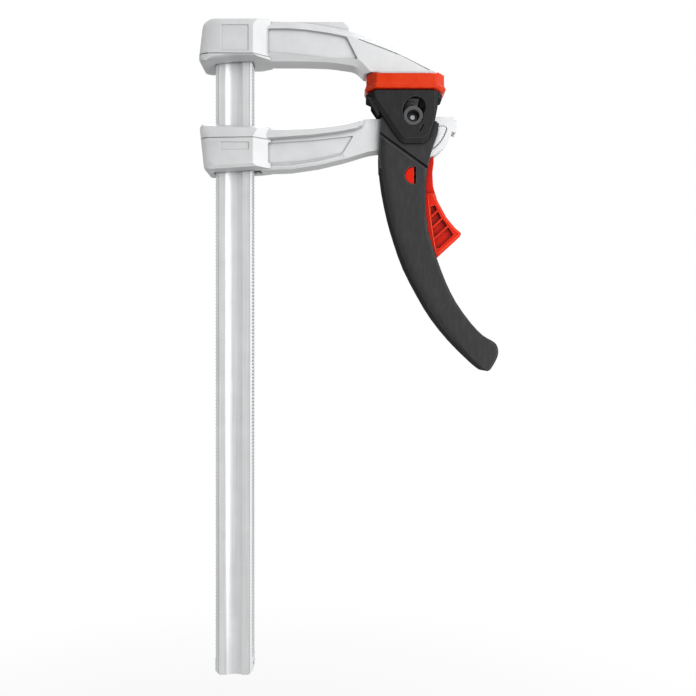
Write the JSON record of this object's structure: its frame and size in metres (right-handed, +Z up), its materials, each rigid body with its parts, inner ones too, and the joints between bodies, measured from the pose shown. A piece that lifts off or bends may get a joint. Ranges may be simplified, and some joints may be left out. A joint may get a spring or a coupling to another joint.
{
  "type": "quick release lever clamp",
  "caption": "Quick release bar clamp: grooved steel rail, cast jaws, red pad cap and a black ratchet lever with a red release trigger.",
  "frame": {"origin": "centre of the fixed jaw's clamping face, level with the middle of the rail's thickness", "axes": "+Z up the rail, against the pressure on the fixed face; +X away from the rail; +Y square to the rail's broad faces, away from the viewer of the picture"},
  "size_m": [0.1557, 0.025, 0.3426],
  "materials": {
    "bright_steel": "cold drawn, bright",
    "cast_alloy": "fine blasted casting, satin",
    "pin_steel": "ground pin ends",
    "dark_steel": "hardened steel, dark",
    "spring_steel": "drawn wire",
    "bush_bronze": "plain bearing bush",
    "black_steel": "blackened pin",
    "red_pad": "smooth red plastic",
    "red_plastic": "satin red plastic",
    "black_plastic": "fine grained black plastic"
  },
  "bodies": {
    "rail_and_fixed_jaw": {"rail": "bright_steel", "fixed_jaw": "cast_alloy", "jaw_dowel_pins": "pin_steel", "fixed_jaw_cap": "red_pad"},
    "arm": {"sliding_arm": "cast_alloy", "upper_grip_plate": "dark_steel", "lower_grip_plate": "dark_steel", "grip_plate_pins": "pin_steel", "ratchet_sector": "dark_steel", "sector_rivets": "pin_steel", "pivot_bush": "bush_bronze"},
    "lever": {"handle": "black_plastic", "pivot_pin": "black_steel", "pivot_core": "bright_steel", "trigger_spring": "spring_steel"},
    "release_trigger": {"trigger": "red_plastic", "pawl": "dark_steel", "pawl_pin": "pin_steel"},
    "moving_pad": {"pressure_plate": "black_plastic", "thrust_plate": "dark_steel"}
  },
  "joints": [
    {"name": "arm_slide", "type": "slide", "parent": "rail_and_fixed_jaw", "child": "arm", "axis": [0, 0, -1], "range_m": [0, 0.25]},
    {"name": "lever_pivot", "type": "hinge", "parent": "arm", "child": "lever", "pos_m": [0.0036, 0, -0.0138], "axis": [0, -1, 0], "range_deg": [0, 40]},
    {"name": "pad_slide", "type": "slide", "parent": "arm", "child": "moving_pad", "axis": [0, 0, -1], "range_m": [0, 0.003]},
    {"name": "trigger_hinge", "type": "hinge", "parent": "lever", "child": "release_trigger", "pos_m": [0.0038, 0, -0.0444], "axis": [0, 1, 0], "range_deg": [0, 8], "stiffness_Nm_per_rad": 1, "springref_deg": -6.88, "deforming": ["trigger_spring"]}
  ],
  "couplings": [
    {"joint": "pad_slide", "follows": "lever_pivot", "m_per_rad": 0.0042972}
  ]
}
